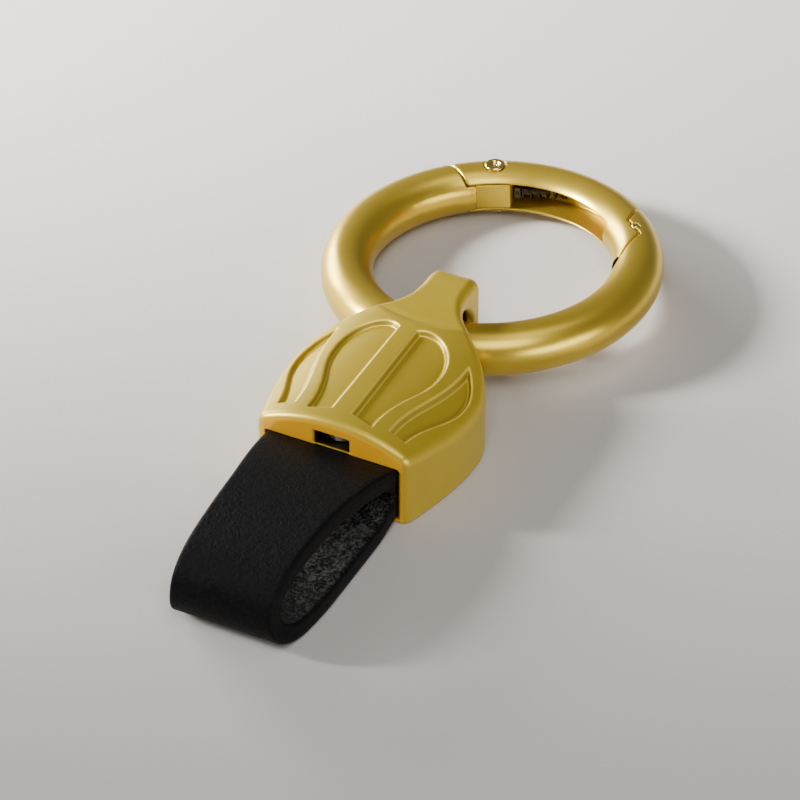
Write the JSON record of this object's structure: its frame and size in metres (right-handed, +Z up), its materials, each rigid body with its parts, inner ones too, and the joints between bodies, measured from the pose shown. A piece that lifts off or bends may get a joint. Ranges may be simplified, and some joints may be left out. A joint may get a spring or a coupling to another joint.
{
  "type": "leather loop key fob",
  "caption": "Short folded leather strap clamped in a cast metal cap whose bail carries a round spring-gate ring for keys.",
  "frame": {"origin": "on the table under the centre of the object's bounding box, as it lies flat", "axes": "+Y along the object's length, from the strap loop towards the ring; +Z up, out of the sunk panels' side; +X across the width"},
  "size_m": [0.038, 0.0837, 0.0106],
  "materials": {
    "satin_gold": "satin plated, soft blasted surface",
    "ring_gold": "satin plated, slightly glossier than the cap",
    "black_leather": "fine grained outside, raw flesh side inside, painted edges",
    "filler_leather": "raw leather",
    "steel": "bright zinc plated",
    "spring_steel": "dark drawn wire"
  },
  "bodies": {
    "cap": {"connector_cap": "satin_gold", "leather_strap": "black_leather", "strap_filler": "filler_leather", "strap_screw": "steel", "captive_nut": "steel"},
    "ring": {"ring_body": "ring_gold", "latch_pin": "ring_gold"},
    "gate": {"ring_gate": "ring_gold", "hinge_pin": "ring_gold", "gate_spring": "spring_steel"},
    "plunger": {"spring_plunger": "steel"}
  },
  "joints": [
    {"name": "ring_swing", "type": "hinge", "parent": "cap", "child": "ring", "pos_m": [0.00068, 0.00675, 0.00416], "axis": [0.9977, 0.0436, 0.0523], "range_deg": [-110, 120]},
    {"name": "gate_hinge", "type": "hinge", "parent": "ring", "child": "gate", "pos_m": [-0.00653, 0.03758, 0.00315], "axis": [0.0533, -0.0204, -0.9984], "range_deg": [0, 50], "stiffness_Nm_per_rad": 0.006, "springref_deg": -34.38},
    {"name": "plunger_travel", "type": "slide", "parent": "gate", "child": "plunger", "axis": [0.9135, 0.4069, 0], "range_m": [0, 0.00101], "deforming": ["gate_spring"]}
  ],
  "couplings": [
    {"joint": "plunger_travel", "follows": "gate_hinge", "m_per_rad": 0.00115}
  ]
}
